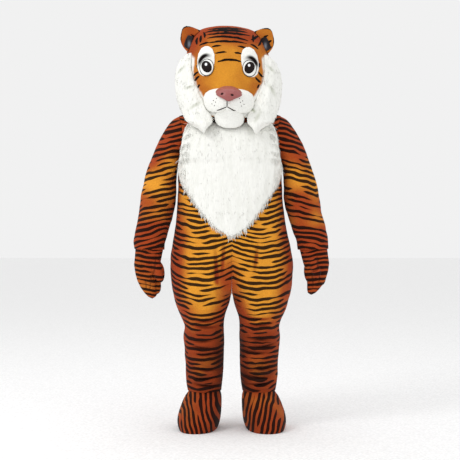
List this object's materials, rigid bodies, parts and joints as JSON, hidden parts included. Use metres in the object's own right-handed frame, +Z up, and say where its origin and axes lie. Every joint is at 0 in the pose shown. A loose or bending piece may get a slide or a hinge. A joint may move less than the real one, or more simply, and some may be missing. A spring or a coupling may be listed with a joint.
{
  "type": "mascot costume",
  "caption": "Full-body tiger mascot costume with a hollow plush head, striped suit, white bib and cheek ruffs, mitts and foot covers.",
  "frame": {"origin": "midway between the wearer's shoulders, on the line through the tops of the armholes", "axes": "+Z up, -Y towards the front of the costume, +X towards the wearer's left"},
  "size_m": [0.9049, 0.4967, 1.8585],
  "materials": {
    "tiger_plush": "short striped plush",
    "white_fur": "long soft pile",
    "dark_fur": "short soft pile",
    "eye_white": "gloss",
    "eye_dark": "gloss",
    "nose_vinyl": "satin",
    "zip_metal": "dull"
  },
  "bodies": {
    "suit": {"front_left": "tiger_plush", "front_right": "tiger_plush", "back_left": "tiger_plush", "back_right": "tiger_plush", "sleeve_left": "tiger_plush", "sleeve_right": "tiger_plush", "mitt_left": "tiger_plush", "mitt_right": "tiger_plush", "spat_left": "tiger_plush", "spat_right": "tiger_plush", "head_front": "tiger_plush", "head_back": "tiger_plush", "ear_left": "tiger_plush", "ear_right": "tiger_plush", "bib": "white_fur", "brow_left": "white_fur", "brow_right": "white_fur", "muzzle_left": "white_fur", "muzzle_right": "white_fur", "chin": "white_fur", "ruff_left": "white_fur", "ruff_right": "white_fur", "ear_lining_left": "dark_fur", "ear_lining_right": "dark_fur", "eye_left": "eye_white", "eye_right": "eye_white", "pupil_left": "eye_dark", "pupil_right": "eye_dark", "nose": "nose_vinyl", "zip_chain": "zip_metal", "zip_slider": "zip_metal"},
    "pull_tab": {"zip_pull": "zip_metal"}
  },
  "joints": [
    {"name": "pull_tab_hinge", "type": "hinge", "parent": "suit", "child": "pull_tab", "pos_m": [0, 0.13506, -0.02724], "axis": [1, 0, 0], "range_deg": [0, 130]}
  ]
}
